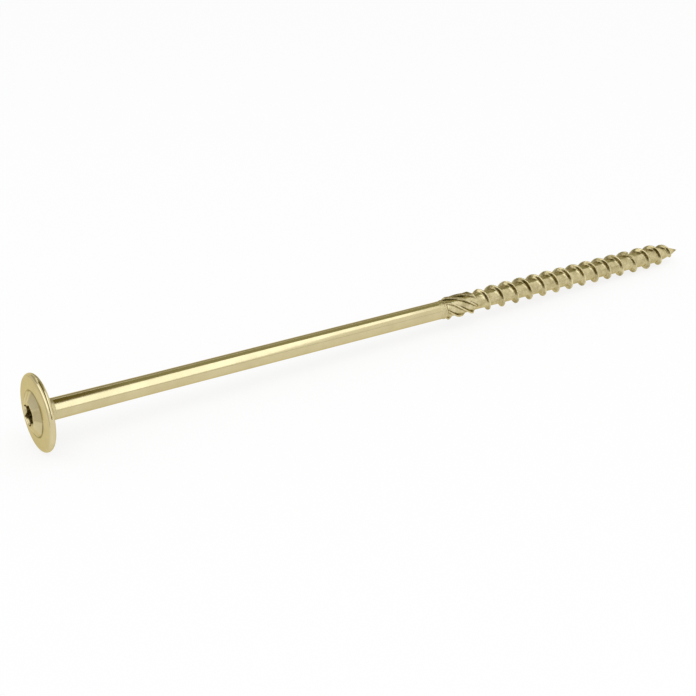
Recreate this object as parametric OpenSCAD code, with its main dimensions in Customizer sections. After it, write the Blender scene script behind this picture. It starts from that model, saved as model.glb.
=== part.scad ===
// Washer head wood screw, partly threaded, with a six-lobe drive.
// Made along its own axis and then laid down as it comes to rest, on its rim and its thread.
// The frame's origin is the middle of the bearing face, and X runs along the floor towards the tip.

/* [Head] */
// Diameter of the washer-shaped flange
head_d = 22; // [18:0.5:26]
// Thickness of the flange at its full-round rim
rim_t = 1.8; // [1.4:0.1:2.4]
// Rise of the flange's front face from its rim to the foot of the boss
front_rise = 0.3; // [0.1:0.05:0.6]
// Diameter of the boss at its foot
boss_d = 13; // [11:0.25:15]
// Diameter of the boss at its flat end
boss_top_d = 7.6; // [7.4:0.1:9]
// Height of the boss above its foot
boss_h = 1.5; // [1:0.1:2.5]

/* [Drive recess] */
// Diameter across the lobes
drive_d = 6.75; // [6.2:0.05:7]
// Diameter between the lobes
drive_root_d = 4.85; // [4.5:0.05:5.1]
// Radius of one lobe's end
lobe_r = 0.55; // [0.45:0.01:0.7]
// Depth of the straight walls from the end of the boss
drive_depth = 2.8; // [2.2:0.1:3]
// Depth of the conical bottom below the walls
drive_cone = 0.7; // [0.4:0.1:1]
// Width of the chamfer at the mouth
drive_chamfer = 0.2; // [0.1:0.05:0.3]

/* [Shank] */
// Length from the bearing face to the tip
screw_len = 240; // [220:5:300]
// Diameter of the smooth shank
shank_d = 5.8; // [5.5:0.1:6.2]
// Length from the bearing face to the end of the smooth shank
shank_len = 134.5; // [100:0.5:150]
// Diameter of the neck where it meets the bearing face
neck_d = 6.8; // [6.6:0.1:7.4]
// Length of the tapered neck
neck_len = 3.2; // [2:0.1:5]
// Diameter of the shank where the neck ends
collar_d = 6.1; // [5.9:0.1:6.4]
// Length from the bearing face over which the shank narrows from there
collar_len = 30; // [10:1:40]
// Height of the lip pushed up at the end of the shank
lip_h = 0.2; // [0.1:0.05:0.4]
// Length of the lip
lip_len = 1; // [0.6:0.1:3]

/* [Milling ribs] */
// Diameter over the ribs
rib_d = 7.4; // [6.8:0.1:7.8]
// Diameter between the ribs
rib_root_d = 5.7; // [5.5:0.1:6.2]
// Number of ribs
rib_count = 6; // [5:1:7]
// Advance of a rib in one full turn
rib_lead = 32.5; // [25:0.5:45]
// Length of the ribbed stretch
rib_len = 12.3; // [8:0.1:14]
// Length of the run-out at each end of the ribs
rib_fade = 1.4; // [1:0.1:3]

/* [Thread] */
// Outer diameter of the thread
thread_d = 8; // [7.5:0.1:8.5]
// Outer diameter of the thread's first turn
first_turn_d = 7.4; // [7:0.1:8]
// Turns over which the thread grows to its full diameter
growth_turns = 2; // [2:1:8]
// Core diameter between the turns
core_d = 5.4; // [5:0.1:5.6]
// Advance of the thread in one turn
pitch = 5.9; // [5.4:0.1:6.4]
// Width of the ridge at its foot
ridge_base = 1.5; // [1.2:0.1:2.4]
// Width of the ridge at its crest
ridge_crest = 0.25; // [0.2:0.05:0.8]
// Turns over which the ridge rises at its start
start_turns = 0.2; // [0.1:0.1:1]
// Turns over which the ridge runs out at the tip
end_turns = 0.5; // [0.3:0.1:1.5]

/* [Tip] */
// Length of the tip over which the core tapers
core_taper = 20; // [15:1:30]
// Length of the tip over which the crest tapers
crest_taper = 18; // [12:1:24]
// Length of the bare point ahead of the thread
point_len = 2.6; // [2:0.1:5]
// Length of the cutting notch
notch_len = 8; // [5:1:12]
// Distance from the tip to the notch's near end
notch_from_tip = 20; // [20:1:34]
// Extra advance of the thread across the notch
notch_shift = 1; // [0:0.1:1.5]
// Depth of the notch's steep wall below the crest
notch_depth = 1.3; // [0.8:0.1:1.8]
// Angle that the notch's sloping floor spans
notch_span = 100; // [40:5:110]
// Turn of the notch's wall about the axis, from the floor upwards
notch_turn = 185; // [100:5:250]

/* [Hidden] */
$fn = 96;
overlap = 0.01;
rib_share = [0, 1, 1, 0, 0, 0, 0, 0, 0];
steps_per_rib = len(rib_share);
columns = rib_count * steps_per_rib;
half_turn = 180;
full_turn = 2 * half_turn;
lobe_count = 6;
lobe_step = full_turn / lobe_count;

// The head's levels along the axis, counted from the bearing face towards the tip
rim_r = rim_t / 2;
boss_foot_z = -rim_t - front_rise;
boss_top_z = boss_foot_z - boss_h;
drive_floor_z = boss_top_z + drive_depth;

// The lobes' centres, and the flutes between them, which cut a little into each lobe's flank
flute_bite = 0.02;
lobe_ring = drive_d / 2 - lobe_r;
lobe_rise = lobe_ring * cos(lobe_step / 2);
flute_top = pow(lobe_ring, 2) + pow(drive_root_d / 2, 2) - drive_root_d * lobe_rise - pow(lobe_r, 2);
flute_r = flute_top / (2 * (lobe_r - drive_root_d / 2 + lobe_rise)) + flute_bite;
flute_ring = drive_root_d / 2 + flute_r;

// The ribbed stretch and the thread that follows it
socket_len = 1;
rib_gap = 0.1;
thread_gap = 0.5;
rib_start = shank_len + rib_gap;
rib_end = rib_start + rib_len;
rib_rings = 12;
ridge_flank = (ridge_base - ridge_crest) / 2;
thread_start = rib_end + thread_gap;
thread_len = screw_len - point_len - thread_start - notch_shift;
thread_turns = floor(thread_len / pitch);
thread_room = thread_len - thread_turns * pitch;
seam_turn = 90;
core_taper_start = screw_len - core_taper;
crest_taper_start = screw_len - crest_taper;
core_power = 3.2;
crest_power = 3;
notch_end = screw_len - notch_from_tip;
notch_start = notch_end - notch_len;
notch_runout = 2;

// Points of the ridge along the axis, and their share of its height
ridge_at = [0, ridge_flank / 2, ridge_flank, ridge_flank + ridge_crest,
            ridge_base - ridge_flank / 2, ridge_base];
ridge_share = [0, 0.45, 1, 1, 0.45, 0];
ridge_points = len(ridge_at);
rows = thread_turns * ridge_points;

// The lie: the rim and the lowest turn of the thread both touch the floor
bottom_turn = (full_turn - seam_turn) / full_turn;
crest_turn = bottom_turn + ridge_base / 2 / pitch;
function touch_angle(run, drop) = atan2(drop, run) + asin(rim_r / norm([run, drop]));
function lie_on(k) =
    let (z = along(k + crest_turn))
    let (r = core_r(z) + ridge_h(z, k + bottom_turn))
    touch_angle(z + rim_r, head_d / 2 - rim_r - r);
tilt = min([for (k = [0:thread_turns - 1]) lie_on(k)]);

// Share of the way from a to b, held between 0 and 1
function share(z, a, b) = min(1, max(0, (z - a) / (b - a)));

// Radius of the core, and of the crest where the thread is full
function core_r(z) = core_d / 2 * (1 - pow(share(z, core_taper_start, screw_len), core_power));
function crest_r(z, turn) =
    (first_turn_d + (thread_d - first_turn_d) * share(turn, 0, growth_turns)) / 2
    * (1 - pow(share(z, crest_taper_start, screw_len), crest_power));

// Height of the ridge above the core
function ridge_h(z, turn) =
    max(0, crest_r(z, turn) - core_r(z))
    * share(turn, 0, start_turns)
    * share(turn, thread_turns, thread_turns - end_turns);

// Radius left by the notch: a steep wall, then a floor that slopes out to the crest
function notch_r(z, angle) =
    let (swing = (angle - notch_turn + full_turn) % full_turn)
    let (rise = share(z, notch_start - notch_runout, notch_start))
    let (inside = rise * share(z, notch_end + notch_runout, notch_end))
    swing > notch_span ? thread_d
        : thread_d / 2 - notch_depth * inside * (1 - swing / notch_span) + thread_d * (1 - inside);

// A place along the axis: the thread moves on across the notch, and its last turn is pressed together
function along(turns) =
    let (z = thread_start + pitch * min(turns, thread_turns))
    let (squeezed = thread_room * share(turns, thread_turns, thread_turns + 1))
    z + notch_shift * share(z, notch_start, notch_end) + squeezed;

function polar(r, angle, z) = [r * cos(angle), r * sin(angle), z];

// One point of the thread, in a column at a fixed angle and a row along the ridge
function thread_point(column, row) =
    let (at = row % ridge_points)
    let (turn = floor(row / ridge_points) + column / columns)
    let (z = along(turn + ridge_at[at] / pitch))
    let (angle = seam_turn + full_turn * column / columns)
    let (r = core_r(z) + ridge_share[at] * ridge_h(z, turn))
    polar(min(r, notch_r(z, angle)), angle, z);

// One point of the ribbed stretch, in a column that follows a rib
function rib_env(z) =
    share(z, rib_start - rib_fade / 4, rib_start + rib_fade) * share(z, rib_end, rib_end - rib_fade);
function rib_r(column, z) =
    let (lift = rib_root_d - core_d + (rib_d - rib_root_d) * rib_share[column % steps_per_rib])
    (core_d + lift * rib_env(z)) / 2;
function rib_point(column, z) =
    polar(rib_r(column, z), seam_turn + full_turn * (column / columns - (rib_end - z) / rib_lead), z);

rib_levels = [shank_len - socket_len, each [for (k = [0:rib_rings]) rib_start + rib_len * k / rib_rings]];
end_ring_z = screw_len - point_len;

// The head, neck and smooth shank, turned about the axis
module turned_body() {
    rotate_extrude() {
        translate([head_d / 2 - rim_r, -rim_r])
            circle(r = rim_r);
        polygon([
            [0, boss_top_z],
            [boss_top_d / 2, boss_top_z],
            [boss_d / 2, boss_foot_z],
            [head_d / 2 - rim_r, -rim_t],
            [head_d / 2 - rim_r, 0],
            [neck_d / 2, 0],
            [collar_d / 2, neck_len],
            [shank_d / 2, collar_len],
            [shank_d / 2, shank_len - lip_len],
            [shank_d / 2 + lip_h, shank_len - lip_len / 4],
            [shank_d / 2 + lip_h / 2, shank_len],
            [0, shank_len]
        ]);
    }
}

// The ribbed stretch, core, thread and tip as one closed skin
module ribs_and_thread() {
    last = len(rib_levels) - 1;
    rib_total = len(rib_levels) * columns;
    thread_total = columns * (rows + 1);
    points = [
        for (z = rib_levels) for (c = [0:columns - 1]) rib_point(c, z),
        for (c = [0:columns - 1]) for (m = [0:rows]) thread_point(c, m),
        for (m = [rows + 1:rows + ridge_points]) thread_point(0, m),
        for (c = [0:columns - 1]) polar(core_r(end_ring_z), seam_turn + full_turn * c / columns, end_ring_z),
        [0, 0, screw_len]
    ];
    ring_at = rib_total + thread_total + ridge_points;
    apex = ring_at + columns;

    function rib(c, k) = k * columns + c % columns;
    function ring(c) = ring_at + c % columns;
    function thread(c, m) =
        c == columns ? thread(0, m + ridge_points)
        : m > rows ? rib_total + thread_total + m - rows - 1
        : rib_total + c * (rows + 1) + m;

    faces = [
        [for (c = [0:columns - 1]) rib(c, 0)],
        for (k = [0:last - 1]) for (c = [0:columns - 1]) each [
            [rib(c, k), rib(c, k + 1), rib(c + 1, k + 1)],
            [rib(c, k), rib(c + 1, k + 1), rib(c + 1, k)]
        ],
        for (c = [0:columns - 2]) each [
            [rib(c, last), thread(c, 0), thread(c + 1, 0)],
            [rib(c, last), thread(c + 1, 0), rib(c + 1, last)]
        ],
        for (m = [0:ridge_points - 1]) [thread(columns - 1, 0), thread(0, m + 1), thread(0, m)],
        [thread(columns - 1, 0), thread(0, 0), rib(0, last)],
        [thread(columns - 1, 0), rib(0, last), rib(columns - 1, last)],
        for (c = [0:columns - 1]) for (m = [0:rows - 1]) each [
            [thread(c, m), thread(c, m + 1), thread(c + 1, m + 1)],
            [thread(c, m), thread(c + 1, m + 1), thread(c + 1, m)]
        ],
        for (m = [rows:rows + ridge_points - 1]) [thread(1, rows), thread(0, m), thread(0, m + 1)],
        [thread(1, rows), thread(0, rows + ridge_points), ring(0)],
        [thread(1, rows), ring(0), ring(1)],
        for (c = [1:columns - 1]) each [
            [thread(c, rows), ring(c), ring(c + 1)],
            [thread(c, rows), ring(c + 1), thread(c + 1, rows)]
        ],
        for (c = [0:columns - 1]) [ring(c), apex, ring(c + 1)]
    ];
    polyhedron(points, faces);
}

// Outline of the six-lobe drive
module drive_outline() {
    difference() {
        union() {
            circle(r = lobe_ring);
            for (k = [0:lobe_count - 1])
                rotate(k * lobe_step)
                    translate([lobe_ring, 0])
                        circle(r = lobe_r);
        }
        for (k = [0:lobe_count - 1])
            rotate((k + 0.5) * lobe_step)
                translate([flute_ring, 0])
                    circle(r = flute_r);
    }
}

// The space that the driver bit fills
module drive_recess() {
    translate([0, 0, boss_top_z - overlap])
        linear_extrude(drive_depth + overlap)
            drive_outline();
    translate([0, 0, drive_floor_z - overlap])
        cylinder(h = drive_cone, d1 = drive_root_d - lobe_r, d2 = 0);
    translate([0, 0, boss_top_z - overlap])
        cylinder(h = drive_chamfer + overlap, d1 = drive_d + overlap, d2 = drive_d - 2 * drive_chamfer);
}

module screw() {
    color("darkkhaki")
        rotate([0, 90 + tilt, 0])
            difference() {
                union() {
                    turned_body();
                    ribs_and_thread();
                }
                drive_recess();
            }
}

screw();
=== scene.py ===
"""The washer head wood screw, dressed for its photograph: one plated steel piece on a pale floor."""

import logging
import math
from dataclasses import dataclass, field
from enum import Enum
from typing import Callable

import bpy
import numpy as np
from mathutils import Euler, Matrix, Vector


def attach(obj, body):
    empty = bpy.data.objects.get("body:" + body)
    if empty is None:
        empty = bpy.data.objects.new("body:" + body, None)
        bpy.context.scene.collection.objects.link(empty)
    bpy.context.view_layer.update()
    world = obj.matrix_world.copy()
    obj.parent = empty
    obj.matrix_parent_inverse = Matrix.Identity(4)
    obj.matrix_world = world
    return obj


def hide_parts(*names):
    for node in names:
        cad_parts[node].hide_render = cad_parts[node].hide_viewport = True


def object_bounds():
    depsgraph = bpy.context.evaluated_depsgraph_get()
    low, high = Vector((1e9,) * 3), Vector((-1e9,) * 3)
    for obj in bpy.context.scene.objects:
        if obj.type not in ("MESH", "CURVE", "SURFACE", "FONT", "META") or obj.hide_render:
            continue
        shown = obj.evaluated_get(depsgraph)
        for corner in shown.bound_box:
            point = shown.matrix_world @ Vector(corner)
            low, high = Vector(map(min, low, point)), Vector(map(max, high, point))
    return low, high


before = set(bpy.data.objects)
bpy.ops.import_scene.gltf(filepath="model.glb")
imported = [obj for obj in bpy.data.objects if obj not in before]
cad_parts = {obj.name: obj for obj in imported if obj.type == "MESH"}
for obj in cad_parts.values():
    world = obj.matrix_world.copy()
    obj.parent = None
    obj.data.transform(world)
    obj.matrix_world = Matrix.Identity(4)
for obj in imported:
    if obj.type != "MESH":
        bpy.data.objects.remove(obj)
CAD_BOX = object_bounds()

LOG = logging.getLogger("screw_scene")
MM = 0.001
FULL_TURN = 2.0 * math.pi
FRAME_SIDE_PX = 696
SENSOR_MM = 36.0
# Depth of the finest lines and grain, in millimetres
STREAK_DEPTH = 0.02
GRAIN_DEPTH = 0.05

Colour = tuple[float, float, float]


class Finish(Enum):
    """The surfaces of the screw that look different, with their material slots."""

    DRAWN = 0
    ROLLED = 1
    RECESS = 2
    FORGED = 3


@dataclass(frozen=True)
class ScrewSizes:
    """Driving sizes of the screw in millimetres, the same as in the part's source."""

    head_d: float = 22.0
    rim_t: float = 1.8
    front_rise: float = 0.3
    boss_d: float = 13.0
    boss_top_d: float = 7.6
    boss_h: float = 1.5
    drive_d: float = 6.75
    drive_root_d: float = 4.85
    lobe_r: float = 0.55
    lobe_count: int = 6
    drive_depth: float = 2.8
    drive_cone: float = 0.7
    drive_chamfer: float = 0.2
    screw_len: float = 240.0
    shank_d: float = 5.8
    shank_len: float = 134.5
    neck_d: float = 6.8
    neck_len: float = 3.2
    collar_d: float = 6.1
    collar_len: float = 30.0
    lip_h: float = 0.2
    lip_len: float = 1.0
    rib_d: float = 7.4
    rib_root_d: float = 5.7
    rib_count: int = 6
    rib_lead: float = 32.5
    rib_len: float = 12.3
    rib_fade: float = 1.4
    rib_share: tuple[float, ...] = (0, 1, 1, 0, 0, 0, 0, 0, 0)
    rib_middle: float = 1.5
    rib_gap: float = 0.1
    thread_gap: float = 0.5
    thread_d: float = 8.0
    first_turn_d: float = 7.4
    growth_turns: float = 2.0
    core_d: float = 5.4
    pitch: float = 5.9
    ridge_base: float = 1.5
    ridge_crest: float = 0.25
    start_turns: float = 0.2
    end_turns: float = 0.5
    core_taper: float = 20.0
    crest_taper: float = 18.0
    core_power: float = 3.2
    crest_power: float = 3.0
    point_len: float = 2.6
    notch_len: float = 8.0
    notch_from_tip: float = 20.0
    notch_shift: float = 1.0
    notch_depth: float = 1.3
    notch_span: float = math.radians(100.0)
    notch_turn: float = math.radians(185.0)
    notch_runout: float = 2.0
    seam_turn: float = math.radians(90.0)
    edge_r: float = 0.18
    foot_r: float = 0.35
    floor_inset: float = 0.06
    plain_end: float = 1.5

    @property
    def rim_r(self) -> float:
        """Radius of the flange's full-round rim."""
        return self.rim_t / 2

    @property
    def boss_foot_z(self) -> float:
        """Level of the boss's foot along the axis."""
        return -self.rim_t - self.front_rise

    @property
    def boss_top_z(self) -> float:
        """Level of the boss's flat end along the axis."""
        return self.boss_foot_z - self.boss_h

    @property
    def rib_start(self) -> float:
        """Start of the ribbed stretch."""
        return self.shank_len + self.rib_gap

    @property
    def rib_end(self) -> float:
        """End of the ribbed stretch."""
        return self.rib_start + self.rib_len

    @property
    def thread_start(self) -> float:
        """Start of the thread's first turn."""
        return self.rib_end + self.thread_gap

    @property
    def thread_len(self) -> float:
        """Length of the thread at its plain pitch."""
        return self.screw_len - self.point_len - self.thread_start - self.notch_shift

    @property
    def thread_turns(self) -> int:
        """Whole turns of thread that fit ahead of the point."""
        return math.floor(self.thread_len / self.pitch)

    @property
    def notch_end(self) -> float:
        """End of the cutting notch towards the tip."""
        return self.screw_len - self.notch_from_tip

    @property
    def notch_start(self) -> float:
        """Start of the cutting notch."""
        return self.notch_end - self.notch_len


@dataclass
class Row:
    """One row of points around the axis.

    Each point has its place along the axis, its radius and its angle, and two masks:
    wear is 1 on raised edges and also paints a highlight over the ribs; painted_shade is 1 where shade is
    painted into the colour: in the recess, along the feet of the boss and the ribs, and on the thread.
    """

    z: np.ndarray
    r: np.ndarray
    angle: np.ndarray
    wear: np.ndarray
    painted_shade: np.ndarray
    finish: Finish


def share(value: np.ndarray | float, start: float, end: float) -> np.ndarray:
    """Share of the way from start to end, held between 0 and 1.

    Args:
        value: Place or places to measure.
        start: Place that gives 0.
        end: Place that gives 1.

    Returns:
        The share for each place.
    """
    return np.clip((np.asarray(value, float) - start) / (end - start), 0.0, 1.0)


def rounded_profile(corners: list[tuple[float, float, float]], steps: int = 5) -> list[tuple[float, float]]:
    """Rounds the inner corners of an open outline.

    Args:
        corners: Points as (z, r, corner radius); a radius of 0 keeps the corner.
        steps: Points on each rounded corner.

    Returns:
        The outline's points as (z, r).
    """
    points: list[tuple[float, float]] = []
    for k, (z, r, radius) in enumerate(corners):
        here = np.array((z, r))
        if radius == 0 or k in (0, len(corners) - 1):
            points.append((z, r))
            continue
        before = np.array(corners[k - 1][:2]) - here
        after = np.array(corners[k + 1][:2]) - here
        room = min(np.linalg.norm(before), np.linalg.norm(after)) / 2
        before /= np.linalg.norm(before)
        after /= np.linalg.norm(after)
        half = math.acos(float(np.clip(before @ after, -1, 1))) / 2
        reach = min(radius / math.tan(half), room)
        for t in np.linspace(0.0, 1.0, steps):
            first = (1 - t) ** 2 * (here + before * reach)
            last = t**2 * (here + after * reach)
            blend = first + 2 * t * (1 - t) * here + last
            points.append((float(blend[0]), float(blend[1])))
    return points


class Screw:
    """The screw's skin: the head, shank, ribs and thread as one closed mesh."""

    COLUMNS_PER_RIB = 27
    RIB_ROWS = 44
    WALL_ROWS = 6
    SHANK_ROWS = 24
    RIM_STEPS = 16
    CHAMFER_ROWS = 4
    # Parts of the way out on the recess's cone, and where its wall and its chamfer start
    RECESS_CONE = (0.4, 0.98, 1.0)
    WALL_FROM = 0.02
    CHAMFER_FROM = 0.2
    # Share of the painted shade that the recess's wall loses up to its mouth
    MOUTH_LIGHT = 0.75
    # Part of the boss's cone at which the painted shade of its foot starts
    FOOT_PART = 0.85
    # Lengths of the lip, back from its end, that have the lip's finish
    LIP_REACH = 1.2
    # Wear on each of the raised edges; the ribs' value is a least wear over the whole ribbed stretch, a
    # painted highlight
    CHAMFER_WEAR = 0.9
    RIM_WEAR = 0.6
    BOSS_WEAR = 0.8
    RIB_PAINTED_HIGHLIGHT = 0.45
    NOTCH_WEAR = 0.6
    # Distances from a rib's foot, in steps of the rib's section, over which its painted shade sets in
    RIB_FOOT = (0.75, 0.3)
    # Shares of the way along the ridge's crest and along the core between two turns
    CREST_POINTS = (0.25, 0.75)
    CORE_POINTS = (0.25, 0.5, 0.75)
    # Share of the way along the ridge's flank, and the share of its height there
    RIDGE_CLIMB = ((0.0, 0.0), (0.2, 0.04), (0.36, 0.14), (0.48, 0.3),
                   (0.62, 0.5), (0.78, 0.73), (0.92, 0.92), (1.0, 0.985))
    # Shares of the ridge's height, or heights in millimetres, between which wear and painted shade set in
    CREST_WEAR = (0.75, 0.95)
    WORN_RIDGE = (0.2, 0.8)
    SHADED_RIDGE = (0.1, 0.8)
    FLANK_BAND = (0.13, 0.9)
    UNDER_BAND = (0.1, 0.5)
    # Strength of the painted shade on the thread, and the degrees about the axis over which it comes and
    # goes
    TOP_SHADE = 0.55
    UNDER_SHADE = 0.4
    SHADE_RISE = (0.0, 22.0)
    SHADE_FRONT = (110.0, 70.0)
    SHADE_BACK = (-80.0, -40.0)
    UNDER_SPAN = (75.0, 35.0)

    def __init__(self, sizes: ScrewSizes) -> None:
        """Keeps the sizes and the angles of the columns."""
        self.sizes = sizes
        self.columns = sizes.rib_count * self.COLUMNS_PER_RIB
        self.base_angle = sizes.seam_turn + FULL_TURN * np.arange(self.columns) / self.columns
        self.turned_angle = self.base_angle - FULL_TURN * (sizes.rib_end - sizes.rib_start) / sizes.rib_lead

    def build(self) -> bpy.types.Object:
        """Makes the mesh object in the row frame, in metres.

        Returns:
            The screw as one object, linked to the scene.
        """
        rows = self.recess_rows() + self.turned_rows() + self.rib_rows()
        skin = SkinBuilder(self.columns)
        skin.start_pole(self.sizes.boss_top_z + self.sizes.drive_depth + self.sizes.drive_cone)
        for row in rows:
            skin.add_row(row)
        skin.add_thread(self)
        return skin.to_object("screw_skin", self.tilt())

    def tilt(self) -> float:
        """Angle of the lying axis below the level, with the rim and the thread on the floor."""
        s = self.sizes
        bottom = np.arange(s.thread_turns) + 1 - s.seam_turn / FULL_TURN
        z = self.along(bottom + s.ridge_base / 2 / s.pitch)
        run = z + s.rim_r
        drop = s.head_d / 2 - s.rim_r - self.core_r(z) - self.ridge_h(z, bottom)
        return float(np.min(np.arctan2(drop, run) + np.arcsin(s.rim_r / np.hypot(run, drop))))

    def outline(self, angle: np.ndarray) -> np.ndarray:
        """Radius of the six-lobe drive's outline.

        Args:
            angle: Angles about the axis.

        Returns:
            The outline's radius at each angle.
        """
        s = self.sizes
        step = FULL_TURN / s.lobe_count
        ring = s.drive_d / 2 - s.lobe_r
        rise = ring * math.cos(step / 2)
        root = s.drive_root_d / 2
        flute_r = (ring**2 + root**2 - 2 * root * rise - s.lobe_r**2) / (2 * (s.lobe_r - root + rise))
        flute_ring = root + flute_r
        lobe_swing = (angle + step / 2) % step - step / 2
        flute_swing = angle % step - step / 2
        lobe_room = s.lobe_r**2 - (ring * np.sin(lobe_swing)) ** 2
        lobe = ring * np.cos(lobe_swing) + np.sqrt(np.maximum(lobe_room, 0.0))
        flute_room = flute_r**2 - (flute_ring * np.sin(flute_swing)) ** 2
        flute = flute_ring * np.cos(flute_swing) - np.sqrt(np.maximum(flute_room, 0.0))
        return np.where(flute_room > 0, np.minimum(flute, np.where(lobe_room > 0, lobe, flute)), lobe)

    def ring_row(self, z: float, r: np.ndarray | float, finish: Finish,
                 wear: float = 0.0, painted_shade: float = 0.0) -> Row:
        """A level row of the turned part.

        Args:
            z: Place along the axis.
            r: Radius, or one radius for each column.
            finish: Surface of the faces that start at this row.
            wear: Wear mask of the row.
            painted_shade: Shelter mask of the row.

        Returns:
            The row.
        """
        ones = np.ones(self.columns)
        return Row(z * ones, r * ones, self.turned_angle, wear * ones, painted_shade * ones, finish)

    def recess_rows(self) -> list[Row]:
        """The drive recess from its bottom to its chamfered mouth.

        Returns:
            The rows, from the bottom up.
        """
        s = self.sizes
        outline = self.outline(self.turned_angle)
        floor_z = s.boss_top_z + s.drive_depth
        cone_r = (s.drive_root_d - s.lobe_r) / 2
        # Painted shade: the recess is darkened in its colour, fully at the bottom and less towards the
        # mouth
        rows = [self.ring_row(floor_z + s.drive_cone * (1 - t), cone_r * t, Finish.RECESS, 0, 1)
                for t in self.RECESS_CONE]
        rows.append(self.ring_row(floor_z, outline - s.floor_inset, Finish.RECESS, 0, 1))
        for t in np.linspace(self.WALL_FROM, 1.0, self.WALL_ROWS):
            z = floor_z - (s.drive_depth - s.drive_chamfer) * t
            rows.append(self.ring_row(z, outline, Finish.RECESS, 0, 1 - self.MOUTH_LIGHT * t))
        for t in np.linspace(self.CHAMFER_FROM, 1.0, self.CHAMFER_ROWS):
            r = np.maximum(outline, s.drive_d / 2 - s.drive_chamfer * (1 - t))
            z = s.boss_top_z + s.drive_chamfer * (1 - t)
            rows.append(self.ring_row(z, r, Finish.DRAWN, self.CHAMFER_WEAR, 0))
        return rows

    def on_cone(self, part: float) -> tuple[float, float, float]:
        """Point of the boss's cone at a part of the way to its foot, as a corner that isn't rounded."""
        s = self.sizes
        return s.boss_top_z + s.boss_h * part, (s.boss_top_d + (s.boss_d - s.boss_top_d) * part) / 2, 0

    def turned_rows(self) -> list[Row]:
        """The boss, flange, neck and smooth shank.

        Returns:
            The rows, from the end of the boss to the lip at the end of the shank.
        """
        s = self.sizes
        rim_at = s.head_d / 2 - s.rim_r
        front = rounded_profile([
            (s.boss_top_z, s.drive_d / 2 + s.edge_r, 0),
            (s.boss_top_z, s.boss_top_d / 2, s.edge_r),
            self.on_cone(self.FOOT_PART),
            (s.boss_foot_z, s.boss_d / 2, s.foot_r),
            (s.boss_foot_z, s.boss_d / 2 + s.foot_r, 0),
            (-s.rim_t, rim_at, 0),
        ])
        rim = [(-s.rim_r - s.rim_r * math.cos(a), rim_at + s.rim_r * math.sin(a))
               for a in np.linspace(0, math.pi, self.RIM_STEPS)[1:]]
        shank_end = s.shank_len - s.lip_len - s.plain_end
        shank_z = np.linspace(s.collar_len + s.plain_end, shank_end, self.SHANK_ROWS)
        back = rounded_profile([
            (0, rim_at, 0),
            (0, s.neck_d / 2, s.edge_r),
            (s.neck_len, s.collar_d / 2, s.edge_r),
            (s.collar_len, s.shank_d / 2, s.edge_r),
            *[(float(z), s.shank_d / 2, 0) for z in shank_z],
            (s.shank_len - s.lip_len, s.shank_d / 2, s.lip_h),
            (s.shank_len - s.lip_len / 4, s.shank_d / 2 + s.lip_h, s.lip_h),
            (s.shank_len, s.shank_d / 2 + s.lip_h / 2, 0),
        ])
        rows = []
        for z, r in front + rim + back[1:]:
            on_rim = float(share(r, rim_at, s.head_d / 2)) * self.RIM_WEAR
            on_lip = z > s.shank_len - s.lip_len * self.LIP_REACH
            on_boss = self.BOSS_WEAR if z < s.boss_foot_z - s.foot_r else 0.0
            # Painted shade: a dark line painted along the boss's foot
            near_foot = float(share(abs(r - s.boss_d / 2), s.foot_r, s.foot_r / 3))
            at_foot = near_foot if z < -s.rim_t else 0.0
            in_neck = 0 <= z < s.neck_len + s.edge_r and r < s.boss_d / 2
            finish = Finish.FORGED if in_neck or on_lip else Finish.DRAWN
            rows.append(self.ring_row(z, r, finish, max(on_rim, on_boss), at_foot))
        return rows

    def rib_rows(self) -> list[Row]:
        """The milling ribs, in rows whose columns follow the ribs.

        Returns:
            The rows, from the shank to the thread.
        """
        s = self.sizes
        steps = len(s.rib_share)
        phase = np.arange(self.columns) / self.COLUMNS_PER_RIB * steps
        wave = np.interp(phase, np.arange(steps), s.rib_share, period=steps)
        from_rib = np.abs((phase - s.rib_middle + steps / 2) % steps - steps / 2)
        # Painted shade: a dark line painted along each foot of the ribs
        at_foot = share(np.abs(from_rib - s.rib_middle), *self.RIB_FOOT)
        # Painted highlight: the whole ribbed stretch, the floors between the ribs too, gets at least this
        # much of the bright wear colour; only the crests have real wear above it
        rubbed = np.maximum(wave**3, self.RIB_PAINTED_HIGHLIGHT) * (1 - at_foot)
        rows = []
        for z in np.linspace(s.rib_start, s.rib_end, self.RIB_ROWS):
            env = float(share(z, s.rib_start - s.rib_fade / 4, s.rib_start + s.rib_fade)
                        * share(z, s.rib_end, s.rib_end - s.rib_fade))
            r = (s.core_d + ((s.rib_root_d - s.core_d) + (s.rib_d - s.rib_root_d) * wave) * env) / 2
            angle = self.base_angle - FULL_TURN * (s.rib_end - z) / s.rib_lead
            ones = np.ones(self.columns)
            rows.append(Row(z * ones, r, angle, rubbed * env, at_foot * env, Finish.ROLLED))
        return rows

    def core_r(self, z: np.ndarray) -> np.ndarray:
        """Radius of the thread's core at each place along the axis."""
        s = self.sizes
        return s.core_d / 2 * (1 - share(z, s.screw_len - s.core_taper, s.screw_len) ** s.core_power)

    def crest_r(self, z: np.ndarray, turn: np.ndarray) -> np.ndarray:
        """Radius of the thread's crest at each place and turn."""
        s = self.sizes
        full = (s.first_turn_d + (s.thread_d - s.first_turn_d) * share(turn, 0, s.growth_turns)) / 2
        return full * (1 - share(z, s.screw_len - s.crest_taper, s.screw_len) ** s.crest_power)

    def ridge_h(self, z: np.ndarray, turn: np.ndarray) -> np.ndarray:
        """Height of the ridge above the core at each place and turn."""
        s = self.sizes
        height = np.maximum(0, self.crest_r(z, turn) - self.core_r(z))
        run_out = share(turn, s.thread_turns, s.thread_turns - s.end_turns)
        return height * share(turn, 0, s.start_turns) * run_out

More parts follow.
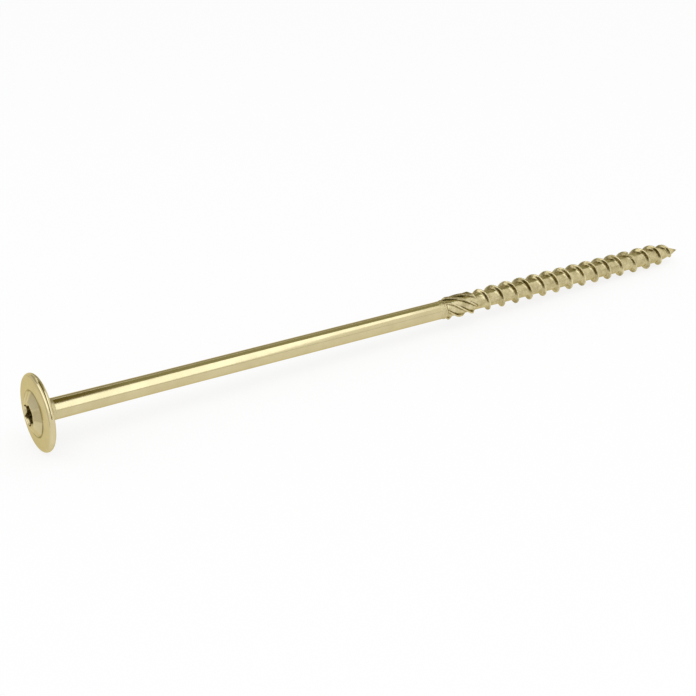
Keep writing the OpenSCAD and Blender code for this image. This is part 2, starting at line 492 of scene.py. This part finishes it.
    def notch_r(self, z: np.ndarray, angle: np.ndarray) -> np.ndarray:
        """Radius that the cutting notch leaves: a steep wall, then a floor that slopes out to the crest.

        Args:
            z: Places along the axis.
            angle: Angles about the axis.

        Returns:
            The largest radius at each point.
        """
        s = self.sizes
        swing = (angle - s.notch_turn) % FULL_TURN
        inside = (share(z, s.notch_start - s.notch_runout, s.notch_start)
                  * share(z, s.notch_end + s.notch_runout, s.notch_end))
        floor = s.thread_d / 2 - s.notch_depth * inside * (1 - swing / s.notch_span)
        return np.where(swing > s.notch_span, s.thread_d, floor + s.thread_d * (1 - inside))

    def along(self, turns: np.ndarray) -> np.ndarray:
        """Place along the axis of a number of turns.

        The thread moves on across the notch, and its last turn is pressed together ahead of the point.

        Args:
            turns: Turns from the start of the thread.

        Returns:
            The place of each.
        """
        s = self.sizes
        z = s.thread_start + s.pitch * np.minimum(turns, s.thread_turns)
        room = s.thread_len - s.thread_turns * s.pitch
        squeezed = room * share(turns, s.thread_turns, s.thread_turns + 1)
        return z + s.notch_shift * share(z, s.notch_start, s.notch_end) + squeezed

    def ridge_profile(self) -> tuple[np.ndarray, np.ndarray]:
        """The ridge's section: filleted feet, straight flanks and a rounded crest, then the bare core.

        Returns:
            Places along the axis from the ridge's foot, and the share of the height at each.
        """
        s = self.sizes
        flank = (s.ridge_base - s.ridge_crest) / 2
        rise = [(f * flank, h) for f, h in self.RIDGE_CLIMB]
        top = [(flank + s.ridge_crest * t, 1.0) for t in self.CREST_POINTS]
        fall = [(s.ridge_base - x, h) for x, h in reversed(rise)]
        core = [(s.ridge_base + (s.pitch - s.ridge_base) * t, 0.0) for t in self.CORE_POINTS]
        profile = np.array(rise + top + fall + core)
        return profile[:, 0], profile[:, 1]

    def thread_rows(self) -> tuple[np.ndarray, ...]:
        """The thread as a grid whose rows run along the ridge.

        Returns:
            Arrays of one entry for each (row, column): place, radius, angle, wear and shelter.
        """
        s = self.sizes
        at, height = self.ridge_profile()
        count = len(at)
        row = np.arange((s.thread_turns + 1) * count + 1)
        column = np.arange(self.columns)
        turn = (row // count)[:, None] + column[None, :] / self.columns
        z = self.along(turn + at[row % count][:, None] / s.pitch)
        angle = np.broadcast_to(self.base_angle, z.shape)
        ridge = self.ridge_h(z, turn)
        lift = height[row % count][:, None] * ridge
        r = self.core_r(z) + lift
        cut = self.notch_r(z, angle)
        rubbed = share(height, *self.CREST_WEAR)[row % count][:, None] * share(ridge, *self.WORN_RIDGE)
        wear = np.where(r > cut, self.NOTCH_WEAR, rubbed)
        # Shade painted on the ridge
        painted_shade = self.ridge_shade(at, height, row % count, angle) * share(ridge, *self.SHADED_RIDGE)
        return z, np.minimum(r, cut), angle, wear, painted_shade

    def ridge_shade(self, at: np.ndarray, height: np.ndarray, row: np.ndarray,
                    angle: np.ndarray) -> np.ndarray:
        """Painted shade on the ridge: on the flank that faces the head, from the top to the front, and
        underneath.

        Args:
            at: Places along the ridge's section.
            height: Share of the ridge's height at each of them.
            row: Number of the section's point in each row.
            angle: Angles about the axis.

        Returns:
            The shade for each (row, column).
        """
        low, high = self.FLANK_BAND
        head_side = np.where((height > low) & (height < high) & (at < self.sizes.ridge_base / 2), 1.0, 0.0)
        turned = np.degrees(angle)
        from_top = (turned + 90.0) % 360.0 - 270.0
        # Painted shade on the flank that faces the head, which comes and goes with the angle about the axis
        least = self.TOP_SHADE
        painted_flank_shade = least + (1 - least) * share(from_top, *self.SHADE_RISE)
        painted_flank_shade = painted_flank_shade * share(from_top, *self.SHADE_FRONT) * share(from_top, *self.SHADE_BACK)
        # Painted shade on the ridge towards the bottom of the thread
        from_bottom = np.abs((turned + 180.0) % 360.0 - 180.0)
        under = self.UNDER_SHADE * share(from_bottom, *self.UNDER_SPAN)
        return head_side[row][:, None] * painted_flank_shade + under * share(height, *self.UNDER_BAND)[row][:, None]


class SkinBuilder:
    """Collects rows of points and joins them into one closed mesh."""

    def __init__(self, columns: int) -> None:
        """Starts an empty skin with a number of columns."""
        self.columns = columns
        self.points: list[tuple[float, float, float]] = []
        self.wear: list[float] = []
        self.painted_shade: list[float] = []
        self.faces: list[tuple[int, ...]] = []
        self.slots: list[int] = []
        self.last: list[int] = []

    def add_points(self, row: Row) -> list[int]:
        """Adds a row's points and returns their numbers."""
        first = len(self.points)
        self.points += list(zip(row.r * np.cos(row.angle), row.r * np.sin(row.angle), row.z))
        self.wear += list(row.wear)
        self.painted_shade += list(row.painted_shade)
        return list(range(first, first + len(row.z)))

    def add_point(self, z: float, painted_shade: float) -> int:
        """Adds one point on the axis and returns its number."""
        self.points.append((0.0, 0.0, z))
        self.wear.append(0.0)
        self.painted_shade.append(painted_shade)
        return len(self.points) - 1

    def face(self, finish: Finish, *corners: int) -> None:
        """Adds one face with its finish."""
        self.faces.append(corners)
        self.slots.append(finish.value)

    def start_pole(self, z: float) -> None:
        """Starts the skin at one point on the axis, at the bottom of the recess."""
        # The point carries full painted shade, as the recess's bottom does
        self.last = [self.add_point(z, 1.0)]

    def add_row(self, row: Row) -> None:
        """Adds a row and joins it to the row before it."""
        here = self.add_points(row)
        for c in range(self.columns):
            d = (c + 1) % self.columns
            if len(self.last) == 1:
                self.face(row.finish, self.last[0], here[d], here[c])
            else:
                self.face(row.finish, self.last[c], self.last[d], here[d], here[c])
        self.last = here

    def add_thread(self, screw: Screw) -> None:
        """Adds the thread, whose rows run on from one turn to the next, and closes the skin at the tip.

        Args:
            screw: The screw that the thread belongs to.
        """
        z, r, angle, wear, painted_shade = screw.thread_rows()
        count = len(screw.ridge_profile()[0])
        rows = screw.sizes.thread_turns * count
        grid = np.full(z.shape, -1, int)
        for m in range(rows + 1):
            grid[m] = self.add_points(Row(z[m], r[m], angle[m], wear[m], painted_shade[m], Finish.ROLLED))
        for m in range(rows + 1, rows + count + 1):
            one = slice(0, 1)
            grid[m, 0] = self.add_points(
                Row(z[m, one], r[m, one], angle[m, one], wear[m, one], painted_shade[m, one], Finish.ROLLED))[0]

        def at(c: int, m: int) -> int:
            """Number of a point; the column past the last is the first, one turn on."""
            return int(grid[m + count, 0] if c == self.columns else grid[m, c])

        end = self.columns - 1
        for c in range(end):
            self.face(Finish.ROLLED, self.last[c], self.last[c + 1], at(c + 1, 0), at(c, 0))
        self.face(Finish.ROLLED, self.last[end], self.last[0], at(0, 0), at(end, 0))
        for m in range(count):
            self.face(Finish.ROLLED, at(end, 0), at(0, m), at(0, m + 1))
        for c in range(self.columns):
            for m in range(rows):
                self.face(Finish.ROLLED, at(c, m), at(c + 1, m), at(c + 1, m + 1), at(c, m + 1))
        self.close_tip(screw, at, rows, count)

    def close_tip(self, screw: Screw, at: Callable[[int, int], int], rows: int, count: int) -> None:
        """Joins the thread's end to a level ring and the ring to the point.

        Args:
            screw: The screw that the thread belongs to.
            at: Gives the number of the thread's point in a column and row.
            rows: Number of the thread's last full row.
            count: Rows in one turn.
        """
        s = screw.sizes
        ones = np.ones(self.columns)
        ring_z = s.screw_len - s.point_len
        ring_r = float(screw.core_r(ring_z))
        ring = self.add_points(
            Row(ring_z * ones, ring_r * ones, screw.base_angle, 0 * ones, 0 * ones, Finish.ROLLED))
        for m in range(rows, rows + count):
            self.face(Finish.ROLLED, at(1, rows), at(0, m + 1), at(0, m))
        self.face(Finish.ROLLED, at(1, rows), ring[0], at(0, rows + count))
        self.face(Finish.ROLLED, at(1, rows), ring[1], ring[0])
        for c in range(1, self.columns):
            self.face(Finish.ROLLED, at(c, rows), at(c + 1, rows), ring[(c + 1) % self.columns], ring[c])
        apex = self.add_point(s.screw_len, 0.0)
        for c in range(self.columns):
            self.face(Finish.ROLLED, ring[c], ring[(c + 1) % self.columns], apex)

    def to_object(self, name: str, tilt: float) -> bpy.types.Object:
        """Lays the skin down and makes its object.

        Args:
            name: Name of the object.
            tilt: Angle of the lying axis below the level.

        Returns:
            The object, linked to the scene.
        """
        local = np.array(self.points) * MM
        turn = np.array(Euler((0, math.pi / 2 + tilt, 0)).to_matrix())
        mesh = bpy.data.meshes.new(name)
        mesh.from_pydata((local @ turn.T).tolist(), [], self.faces)
        mesh.polygons.foreach_set("material_index", self.slots)
        mesh.polygons.foreach_set("use_smooth", [True] * len(self.faces))
        # The wear mask and the mask of painted shade go on the mesh
        for label, values in (("wear", self.wear), ("painted_shade", self.painted_shade)):
            layer = mesh.attributes.new(label, "FLOAT", "POINT")
            layer.data.foreach_set("value", np.array(values, np.float32))
        mesh.validate()
        mesh.update()
        piece = bpy.data.objects.new(name, mesh)
        bpy.context.scene.collection.objects.link(piece)
        return piece


class NodeTree:
    """Small helper that adds and links shader nodes in a material or a node group."""

    # Sockets of a colour Mix node: the factor, the two colours and the result
    MIX_INPUTS = (0, 6, 7)
    MIX_RESULT = 2

    def __init__(self, tree: bpy.types.NodeTree) -> None:
        """Keeps the tree that nodes are added to."""
        self.tree = tree

    def add(self, kind: str, inputs: dict | None = None, **settings) -> bpy.types.Node:
        """Adds one node.

        Args:
            kind: The node's type name.
            inputs: Socket name or number to a value, or to an output socket that is linked to it.
            settings: Properties of the node.

        Returns:
            The node.
        """
        node = self.tree.nodes.new(kind)
        for name, value in settings.items():
            setattr(node, name, value)
        for key, value in (inputs or {}).items():
            if isinstance(value, bpy.types.NodeSocket):
                self.tree.links.new(value, node.inputs[key])
            else:
                node.inputs[key].default_value = value
        return node

    def link(self, source: bpy.types.NodeSocket, target: bpy.types.NodeSocket) -> None:
        """Links an output to an input."""
        self.tree.links.new(source, target)

    def math(self, operation: str, first: object, second: object = 0.0) -> bpy.types.NodeSocket:
        """Adds a Math node and returns its output."""
        return self.add("ShaderNodeMath", {0: first, 1: second}, operation=operation).outputs[0]

    def mix(self, factor: object, first: object, second: object) -> bpy.types.NodeSocket:
        """Adds a colour Mix node and returns its colour."""
        inputs = dict(zip(self.MIX_INPUTS, (factor, first, second)))
        return self.add("ShaderNodeMix", inputs, data_type="RGBA").outputs[self.MIX_RESULT]


def new_material(name: str) -> tuple[bpy.types.Material, NodeTree]:
    """Makes a material with an empty node tree.

    Args:
        name: The material's name.

    Returns:
        The material and the helper for its nodes.
    """
    made = bpy.data.materials.new(name)
    made.use_nodes = True
    made.node_tree.nodes.clear()
    return made, NodeTree(made.node_tree)


def new_group(
    name: str, sockets: list[tuple[str, str, str]]
) -> tuple[bpy.types.NodeTree, NodeTree, dict, bpy.types.Node]:
    """Makes an empty shader node group.

    Args:
        name: The group's name.
        sockets: Its sockets as (name, INPUT or OUTPUT, socket type).

    Returns:
        The group, its helper, its inputs by name and its output node.
    """
    group = bpy.data.node_groups.new(name, "ShaderNodeTree")
    for label, direction, kind in sockets:
        group.interface.new_socket(name=label, in_out=direction, socket_type=kind)
    helper = NodeTree(group)
    entry = helper.add("NodeGroupInput")
    exit_node = helper.add("NodeGroupOutput")
    return group, helper, {socket.name: socket for socket in entry.outputs}, exit_node


class PlatingGroups:
    """The node groups that the plated finishes share."""

    # How much finer the fine patches are, the share of each size, and the noise between pale and deep
    FINE_RATIO = 4.3
    BROAD_SHARE = 0.6
    FINE_SHARE = 0.4
    PATCH_RANGE = (0.38, 0.62)
    # The streaks are noise drawn out along the axis
    STREAK_STRETCH = (0.02, 1.0, 1.0)
    # Share of the painted shade and of the wear where there is no patch
    SHADE_BASE = 0.35
    WEAR_TOP = 1.15

    def __init__(self) -> None:
        """Builds each group once."""
        self.tone = self.build_tone()
        self.streaks = self.build_streaks()
        self.wear = self.build_wear_and_shade()

    def build_tone(self) -> bpy.types.NodeTree:
        """Cloudy tone of the plating: two sizes of soft patches between a pale and a deep colour."""
        group, nodes, given, out = new_group("Plating tone", [
            ("Vector", "INPUT", "NodeSocketVector"), ("Pale", "INPUT", "NodeSocketColor"),
            ("Deep", "INPUT", "NodeSocketColor"), ("Patch scale", "INPUT", "NodeSocketFloat"),
            ("Amount", "INPUT", "NodeSocketFloat"), ("Colour", "OUTPUT", "NodeSocketColor"),
            ("Patches", "OUTPUT", "NodeSocketFloat"),
        ])
        broad = nodes.add("ShaderNodeTexNoise", {
            "Vector": given["Vector"], "Scale": given["Patch scale"], "Detail": 3.0})
        fine_scale = nodes.math("MULTIPLY", given["Patch scale"], self.FINE_RATIO)
        fine = nodes.add("ShaderNodeTexNoise", {
            "Vector": given["Vector"], "Scale": fine_scale, "Detail": 4.0})
        both = nodes.math("ADD", nodes.math("MULTIPLY", broad.outputs["Fac"], self.BROAD_SHARE),
                          nodes.math("MULTIPLY", fine.outputs["Fac"], self.FINE_SHARE))
        low, high = self.PATCH_RANGE
        ramp = nodes.add("ShaderNodeMapRange", {"Value": both, "From Min": low, "From Max": high})
        amount = nodes.math("MULTIPLY", ramp.outputs["Result"], given["Amount"])
        nodes.link(nodes.mix(amount, given["Pale"], given["Deep"]), out.inputs["Colour"])
        nodes.link(ramp.outputs["Result"], out.inputs["Patches"])
        return group

    def build_streaks(self) -> bpy.types.NodeTree:
        """Fine lines drawn along the screw's axis."""
        group, nodes, given, out = new_group("Drawn streaks", [
            ("Vector", "INPUT", "NodeSocketVector"), ("Density", "INPUT", "NodeSocketFloat"),
            ("Streaks", "OUTPUT", "NodeSocketFloat"),
        ])
        stretch = {0: given["Vector"], 1: self.STREAK_STRETCH}
        along = nodes.add("ShaderNodeVectorMath", stretch, operation="MULTIPLY")
        noise = nodes.add("ShaderNodeTexNoise", {
            "Vector": along.outputs[0], "Scale": given["Density"], "Detail": 3.0})
        nodes.link(noise.outputs["Fac"], out.inputs["Streaks"])
        return group

    def build_wear_and_shade(self) -> bpy.types.NodeTree:
        """Rubbed bright edges and painted shade, from the mesh's own masks."""
        group, nodes, given, out = new_group("Rubbed edges and painted shade", [
            ("Colour", "INPUT", "NodeSocketColor"), ("Rubbed", "INPUT", "NodeSocketColor"),
            ("Shade colour", "INPUT", "NodeSocketColor"), ("Wear", "INPUT", "NodeSocketFloat"),
            ("Painted shade", "INPUT", "NodeSocketFloat"), ("Patches", "INPUT", "NodeSocketFloat"),
            ("Colour out", "OUTPUT", "NodeSocketColor"),
        ])
        # Painted shade: the shade mask, broken up by the patches, mixes in the shade colour
        patchy = nodes.math("ADD", given["Patches"], self.SHADE_BASE)
        broken = nodes.math("MULTIPLY", given["Painted shade"], patchy)
        shade_mixed = nodes.mix(nodes.math("MINIMUM", broken, 1.0), given["Colour"], given["Shade colour"])
        between = nodes.math("SUBTRACT", self.WEAR_TOP, given["Patches"])
        rubbed = nodes.math("MULTIPLY", given["Wear"], between)
        bright = nodes.mix(nodes.math("MINIMUM", rubbed, 1.0), shade_mixed, given["Rubbed"])
        nodes.link(bright, out.inputs["Colour out"])
        return group


@dataclass(frozen=True)
class Plating:
    """One plated finish, as colours (linear) and the strength of each effect."""

    name: str
    pale: Colour
    deep: Colour
    rubbed: Colour
    shade_colour: Colour
    patch_scale: float
    patch_amount: float
    roughness: float
    roughness_spread: float
    streak_density: float
    streak_bump: float
    grain_scale: float
    grain_bump: float
    wear: float
    # Strength of the painted shade
    painted_shade: float

    def material(self, groups: PlatingGroups, tilt: float) -> bpy.types.Material:
        """Makes the finish's material.

        Args:
            groups: The shared node groups.
            tilt: Angle of the lying axis below the level, which the streaks follow.

        Returns:
            The material.
        """
        made, nodes = new_material(self.name)
        place = nodes.add("ShaderNodeTexCoord").outputs["Object"]
        laid = nodes.add("ShaderNodeMapping", {"Vector": place, "Rotation": (0.0, -tilt, 0.0)})
        lined = laid.outputs["Vector"]
        tone = nodes.add("ShaderNodeGroup", {
            "Vector": lined, "Pale": (*self.pale, 1), "Deep": (*self.deep, 1),
            "Patch scale": self.patch_scale, "Amount": self.patch_amount,
        }, node_tree=groups.tone)
        streaks = nodes.add("ShaderNodeGroup", {
            "Vector": lined, "Density": self.streak_density,
        }, node_tree=groups.streaks)
        rubbed = nodes.add("ShaderNodeGroup", {
            "Colour": tone.outputs["Colour"], "Rubbed": (*self.rubbed, 1), "Shade colour": (*self.shade_colour, 1),
            "Wear": self.mask(nodes, "wear", self.wear),
            "Painted shade": self.mask(nodes, "painted_shade", self.painted_shade),
            "Patches": tone.outputs["Patches"],
        }, node_tree=groups.wear)
        grain = nodes.add("ShaderNodeTexNoise", {"Vector": lined, "Scale": self.grain_scale, "Detail": 4.0})
        lines = nodes.add("ShaderNodeBump", {
            "Strength": self.streak_bump, "Distance": STREAK_DEPTH * MM,
            "Height": streaks.outputs["Streaks"],
        })
        bump = nodes.add("ShaderNodeBump", {
            "Strength": self.grain_bump, "Distance": GRAIN_DEPTH * MM,
            "Height": grain.outputs["Fac"], "Normal": lines.outputs["Normal"],
        })
        rough = nodes.add("ShaderNodeMapRange", {
            "Value": tone.outputs["Patches"],
            "To Min": self.roughness - self.roughness_spread,
            "To Max": self.roughness + self.roughness_spread,
        })
        shader = nodes.add("ShaderNodeBsdfPrincipled", {
            "Base Color": rubbed.outputs["Colour out"], "Metallic": 1.0,
            "Roughness": rough.outputs["Result"], "Normal": bump.outputs["Normal"],
            "Specular Tint": (*EDGE_TINT, 1),
        })
        out = nodes.add("ShaderNodeOutputMaterial")
        nodes.link(shader.outputs["BSDF"], out.inputs["Surface"])
        return made

    @staticmethod
    def mask(nodes: NodeTree, label: str, strength: float) -> bpy.types.NodeSocket:
        """Reads one of the mesh's masks and scales it."""
        layer = nodes.add("ShaderNodeAttribute", attribute_name=label)
        return nodes.math("MULTIPLY", layer.outputs["Fac"], strength)


PALE_GOLD: Colour = (0.64, 0.555, 0.325)
DEEP_GOLD: Colour = (0.52, 0.44, 0.235)
# Colour of rubbed zinc, which over the ribs also paints a highlight
BRIGHT_ZINC: Colour = (0.78, 0.69, 0.43)
ROLLED_PALE: Colour = (0.655, 0.57, 0.33)
ROLLED_DEEP: Colour = (0.44, 0.37, 0.19)
# Colour that the painted shade mixes in
OLIVE_SHADE: Colour = (0.1, 0.076, 0.017)
EDGE_TINT: Colour = (0.82, 0.74, 0.5)

FINISHES: dict[Finish, Plating] = {
    Finish.DRAWN: Plating(
        name="plating_drawn", pale=PALE_GOLD, deep=DEEP_GOLD, rubbed=BRIGHT_ZINC, shade_colour=OLIVE_SHADE,
        patch_scale=90.0, patch_amount=0.4, roughness=0.13, roughness_spread=0.03,
        streak_density=1400.0, streak_bump=0.25, grain_scale=2600.0, grain_bump=0.05,
        wear=0.5, painted_shade=0.6),
    Finish.ROLLED: Plating(
        name="plating_rolled", pale=ROLLED_PALE, deep=ROLLED_DEEP, rubbed=BRIGHT_ZINC, shade_colour=OLIVE_SHADE,
        patch_scale=420.0, patch_amount=1.0, roughness=0.2, roughness_spread=0.06,
        streak_density=900.0, streak_bump=0.2, grain_scale=1500.0, grain_bump=0.3,
        wear=0.8, painted_shade=0.88),
    Finish.RECESS: Plating(
        name="plating_recess", pale=PALE_GOLD, deep=DEEP_GOLD, rubbed=BRIGHT_ZINC, shade_colour=OLIVE_SHADE,
        patch_scale=500.0, patch_amount=0.8, roughness=0.32, roughness_spread=0.08,
        streak_density=900.0, streak_bump=0.1, grain_scale=1800.0, grain_bump=0.2,
        wear=0.5, painted_shade=0.75),
    Finish.FORGED: Plating(
        name="plating_forged", pale=PALE_GOLD, deep=DEEP_GOLD, rubbed=BRIGHT_ZINC, shade_colour=OLIVE_SHADE,
        patch_scale=300.0, patch_amount=0.6, roughness=0.4, roughness_spread=0.06,
        streak_density=900.0, streak_bump=0.1, grain_scale=1800.0, grain_bump=0.1,
        wear=0.5, painted_shade=0.5),
}


@dataclass(frozen=True)
class Card:
    """A curved card in the studio, seen only by the metal: a bright one is a soft box, a dark one a flag.

    It is drawn through stations along the screw. Each station is a place along X in millimetres and the
    first and last angle at which the shank there reflects the card, in degrees from the back over the top.
    """

    name: str
    stations: tuple[tuple[float, float, float], ...]
    brightness: float
    colour: Colour = (1.0, 1.0, 1.0)
    reach: float = 0.9


@dataclass(frozen=True)
class Panel:
    """A flat card in the studio, in metres, seen only by the metal; it faces the head or the way given."""

    name: str
    direction: tuple[float, float, float]
    width: float
    height: float
    brightness: float
    colour: Colour = (1.0, 1.0, 1.0)
    reach: float = 0.9
    facing: tuple[float, float, float] | None = None


@dataclass
class Studio:
    """The floor, light and camera around the screw."""

    CARD_STEPS = 8
    # Light that the surround gives to all but the camera and the metal
    FILL_STRENGTH = 0.8
    # Grey of the floor, and how much of its look is its own light
    FLOOR_GREY = 0.9
    FLOOR_GLOW = 0.8
    # The lamp's sides in metres, its power in watts and its place from the point it is aimed at
    KEY_SIDES = (1.6, 1.2)
    KEY_POWER = 6.5
    KEY_FROM_AIM = (-0.2, -0.4, 1.2)
    CLIP_START = 0.01

    aim: Vector = field(default_factory=lambda: Vector((0.10, 0.0, 0.0)))
    camera_at: Vector = field(default_factory=lambda: Vector((-0.1013678, -0.3014722, 0.1723457)))
    camera_turn: float = math.radians(33.51428)
    camera_drop: float = math.radians(26.50643)
    focal_px: float = 1317.84
    floor_side: float = 12.0
    cards: tuple[Card, ...] = (
        Card("front_softbox", ((-9, 122, 171), (12, 118, 171), (26, 109, 170), (47, 97, 168), (75, 91, 160),
                               (98, 90, 136), (120, 90, 126), (141, 90, 122)), 1.85, (0.95, 1.0, 1.08)),
        Card("front_skirting", ((-9, 173, 179), (250, 173, 179)), 0.75),
        Card("camera_gap", ((-136, 60, 178), (-10, 60, 178)), 0.2, (1.0, 0.85, 0.35)),
        Card("overhead_dark", ((-20, 40, 120), (12, 45, 112), (35, 50, 98)), 0.16, (1.0, 0.8, 0.2)),
        Card("overhead_flag", ((35, 44, 96), (60, 44, 91), (250, 44, 88)), 0.36, (1.0, 0.98, 0.6)),
        Card("back_flag", ((-20, 2, 40), (250, 2, 42)), 0.43, (1.0, 0.98, 0.88)),
    )
    panels: tuple[Panel, ...] = (
        Panel("left_softbox", (-0.86, 0.02, 0.48), 1.5, 0.5, 1.7),
        Panel("back_left_flag", (-0.8, 0.6, 0.09), 1.5, 0.3, 0.68),
        Panel("back_high_flag", (-0.295, 0.64, 0.387), 0.7, 0.4, 0.5, (1.0, 0.98, 0.85), 0.8),
        Panel("left_floor_flag", (-0.3, 0.05, -0.0108), 0.55, 0.12, 0.72, (1.0, 0.98, 0.92), 0.3043,
              facing=(0.0, 0.0, 1.0)),
    )

    def build(self, floor_z: float) -> None:
        """Makes the whole studio.

        Args:
            floor_z: Level of the floor.
        """
        self.make_world()
        self.make_floor(floor_z)
        for card in self.cards:
            self.make_card(card)
        for panel in self.panels:
            self.make_panel(panel)
        self.make_key()
        self.make_camera()
        bpy.context.scene.view_settings.view_transform = "Standard"

    @staticmethod
    def seen_directly(nodes: NodeTree) -> bpy.types.NodeSocket:
        """Mask that is 1 for rays from the camera, from metal and through glass."""
        path = nodes.add("ShaderNodeLightPath").outputs
        shine = nodes.math("MAXIMUM", path["Is Glossy Ray"], path["Is Transmission Ray"])
        return nodes.math("MAXIMUM", path["Is Camera Ray"], shine)

    def make_world(self) -> None:
        """White surround for the camera and the metal, and a softer fill for everything else."""
        world = bpy.data.worlds.new("studio_world")
        bpy.context.scene.world = world
        world.use_nodes = True
        world.node_tree.nodes.clear()
        nodes = NodeTree(world.node_tree)
        white = nodes.add("ShaderNodeBackground", {"Color": (1, 1, 1, 1), "Strength": 1.0})
        fill = nodes.add("ShaderNodeBackground", {"Color": (1, 1, 1, 1), "Strength": self.FILL_STRENGTH})
        mixed = nodes.add("ShaderNodeMixShader", {
            0: self.seen_directly(nodes), 1: fill.outputs[0], 2: white.outputs[0]})
        out = nodes.add("ShaderNodeOutputWorld")
        nodes.link(mixed.outputs[0], out.inputs["Surface"])

    def make_floor(self, floor_z: float) -> None:
        """A wide pale floor that keeps the screw's shadow.

        Args:
            floor_z: Level of the floor.
        """
        half = self.floor_side / 2
        mesh = bpy.data.meshes.new("studio_floor")
        corners = [(x * half, y * half, floor_z) for x, y in ((-1, -1), (1, -1), (1, 1), (-1, 1))]
        mesh.from_pydata(corners, [], [(0, 1, 2, 3)])
        floor = bpy.data.objects.new("studio_floor", mesh)
        bpy.context.scene.collection.objects.link(floor)
        made, nodes = new_material("studio_floor_white")
        matte = nodes.add("ShaderNodeBsdfDiffuse", {"Color": (*[self.FLOOR_GREY] * 3, 1)})
        glow = nodes.add("ShaderNodeEmission", {"Color": (1, 1, 1, 1), "Strength": 1.0})
        lit = nodes.add("ShaderNodeMixShader", {
            0: self.FLOOR_GLOW, 1: matte.outputs[0], 2: glow.outputs[0]})
        mixed = nodes.add("ShaderNodeMixShader", {
            0: self.seen_directly(nodes), 1: matte.outputs[0], 2: lit.outputs[0]})
        out = nodes.add("ShaderNodeOutputMaterial")
        nodes.link(mixed.outputs[0], out.inputs["Surface"])
        mesh.materials.append(made)

    def reflected(self, x: float, angle: float, reach: float) -> tuple[float, float, float]:
        """Point that the shank shows the camera at one place and angle.

        Args:
            x: Place along X in millimetres.
            angle: Degrees about X from the back over the top to the front.
            reach: Distance of the point from the shank.

        Returns:
            The point, in metres.
        """
        start = Vector((x * MM, 0.0, 0.0))
        view = (start - self.camera_at).normalized()
        across = math.hypot(view.y, view.z)
        turn = math.radians(angle)
        return tuple(start + reach * Vector((view.x, across * math.cos(turn), across * math.sin(turn))))

    def make_card(self, card: Card) -> None:
        """Makes one curved card from its stations.

        Args:
            card: The card's stations, brightness and colour.
        """
        points = [self.reflected(x, angle, card.reach)
                  for x, first, last in card.stations
                  for angle in np.linspace(first, last, self.CARD_STEPS)]
        faces = []
        for k in range(len(card.stations) - 1):
            for j in range(self.CARD_STEPS - 1):
                corner = k * self.CARD_STEPS + j
                faces.append((corner, corner + 1, corner + self.CARD_STEPS + 1, corner + self.CARD_STEPS))
        mesh = bpy.data.meshes.new(card.name)
        mesh.from_pydata(points, [], faces)
        self.hang(mesh, card.brightness, card.colour)

    def make_panel(self, panel: Panel) -> None:
        """Makes one flat card that faces the head, or the way it is given.

        Args:
            panel: The panel's place, size, brightness and colour.
        """
        w, h = panel.width / 2, panel.height / 2
        mesh = bpy.data.meshes.new(panel.name)
        mesh.from_pydata([(-w, -h, 0), (w, -h, 0), (w, h, 0), (-w, h, 0)], [], [(0, 1, 2, 3)])
        toward = Vector(panel.direction).normalized()
        piece = self.hang(mesh, panel.brightness, panel.colour)
        piece.location = toward * panel.reach
        facing = Vector(panel.facing) if panel.facing else toward
        piece.rotation_euler = facing.to_track_quat("Z", "Y").to_euler()

    @staticmethod
    def hang(mesh: bpy.types.Mesh, brightness: float, colour: Colour) -> bpy.types.Object:
        """Hangs a card's mesh in the studio, lit by itself and seen only by the metal.

        Args:
            mesh: The card's mesh, whose name the card takes.
            brightness: Strength of its light.
            colour: Colour of its light.

        Returns:
            The card's object.
        """
        made, nodes = new_material(mesh.name)
        glow = nodes.add("ShaderNodeEmission", {"Color": (*colour, 1), "Strength": brightness})
        out = nodes.add("ShaderNodeOutputMaterial")
        nodes.link(glow.outputs[0], out.inputs["Surface"])
        mesh.materials.append(made)
        piece = bpy.data.objects.new(mesh.name, mesh)
        piece.visible_camera = False
        piece.visible_diffuse = False
        piece.visible_shadow = False
        bpy.context.scene.collection.objects.link(piece)
        return piece

    def make_key(self) -> None:
        """A wide soft lamp above, for the floor's light and the screw's soft shadow."""
        lamp = bpy.data.lights.new("key_lamp", "AREA")
        lamp.shape = "RECTANGLE"
        lamp.size, lamp.size_y = self.KEY_SIDES
        lamp.energy = self.KEY_POWER
        piece = bpy.data.objects.new("key_lamp", lamp)
        piece.location = self.aim + Vector(self.KEY_FROM_AIM)
        piece.rotation_euler = (self.aim - piece.location).to_track_quat("-Z", "Y").to_euler()
        piece.visible_glossy = False
        bpy.context.scene.collection.objects.link(piece)

    def make_camera(self) -> None:
        """The camera, level and looking down on the screw as the photograph does."""
        camera = bpy.data.cameras.new("camera")
        camera.sensor_width = SENSOR_MM
        camera.lens = self.focal_px / FRAME_SIDE_PX * SENSOR_MM
        camera.clip_start = self.CLIP_START
        piece = bpy.data.objects.new("camera", camera)
        piece.location = self.camera_at
        piece.rotation_euler = (math.pi / 2 - self.camera_drop, 0.0, -self.camera_turn)
        bpy.context.scene.collection.objects.link(piece)
        bpy.context.scene.camera = piece


def main() -> None:
    """Builds the screw, dresses it and sets up the studio."""
    logging.basicConfig(level=logging.INFO)
    screw = Screw(ScrewSizes())
    piece = screw.build()
    groups = PlatingGroups()
    for finish in Finish:
        piece.data.materials.append(FINISHES[finish].material(groups, screw.tilt()))
    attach(piece, "root")
    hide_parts("screw")
    LOG.info("%s: %d points, %d faces", piece.name, len(piece.data.vertices), len(piece.data.polygons))
    Studio().build(float(CAD_BOX[0][2]))


if __name__ == "__main__":
    main()
